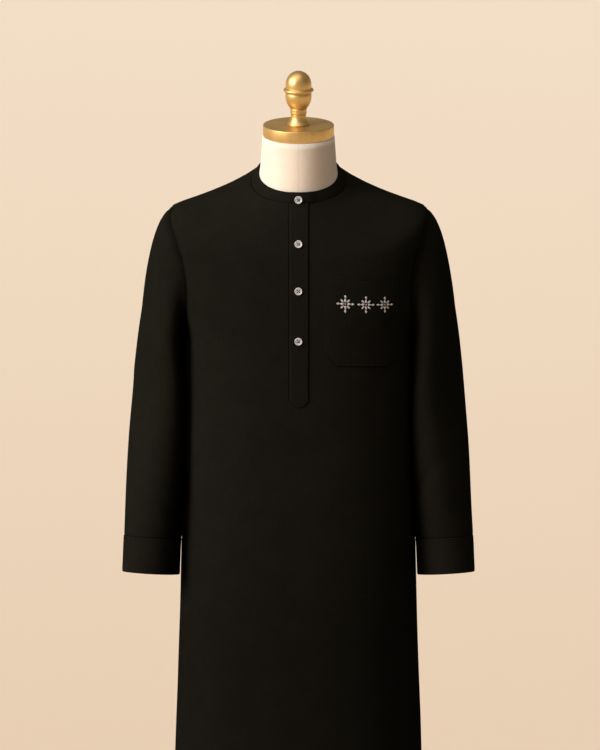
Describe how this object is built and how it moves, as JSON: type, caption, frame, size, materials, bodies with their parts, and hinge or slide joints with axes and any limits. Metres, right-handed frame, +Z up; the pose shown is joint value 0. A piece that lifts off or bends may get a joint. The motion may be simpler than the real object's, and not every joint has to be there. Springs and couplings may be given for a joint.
{
  "type": "kaftan on a dress form",
  "caption": "Long straight black kaftan with a stand collar, button placket and embroidered breast pocket, worn on a limbless tailor's dress form on a round stand.",
  "frame": {"origin": "on the floor under the middle of the whole thing, which is the pole's axis", "axes": "+Z up, -Y is the garment's front, +X is the wearer's left, where the breast pocket is"},
  "size_m": [0.5892, 0.344, 1.6584],
  "materials": {
    "black_cloth": "fine matte suiting weave",
    "pearl_button": "grey mother-of-pearl",
    "star_thread": "silver-grey embroidery thread",
    "form_canvas": "cream canvas, pulled smooth",
    "satin_brass": "satin"
  },
  "bodies": {
    "root": {"front_panel": "black_cloth", "back_panel": "black_cloth", "sleeve_left": "black_cloth", "sleeve_right": "black_cloth", "cuff_left": "black_cloth", "cuff_right": "black_cloth", "collar_band": "black_cloth", "placket": "black_cloth", "chest_pocket": "black_cloth", "star_1": "star_thread", "star_2": "star_thread", "star_3": "star_thread", "button_1": "pearl_button", "button_2": "pearl_button", "button_3": "pearl_button", "button_4": "pearl_button", "form_body": "form_canvas", "neck_cap": "satin_brass", "finial": "satin_brass", "stand_pole": "satin_brass", "stand_base": "satin_brass"}
  },
  "joints": []
}
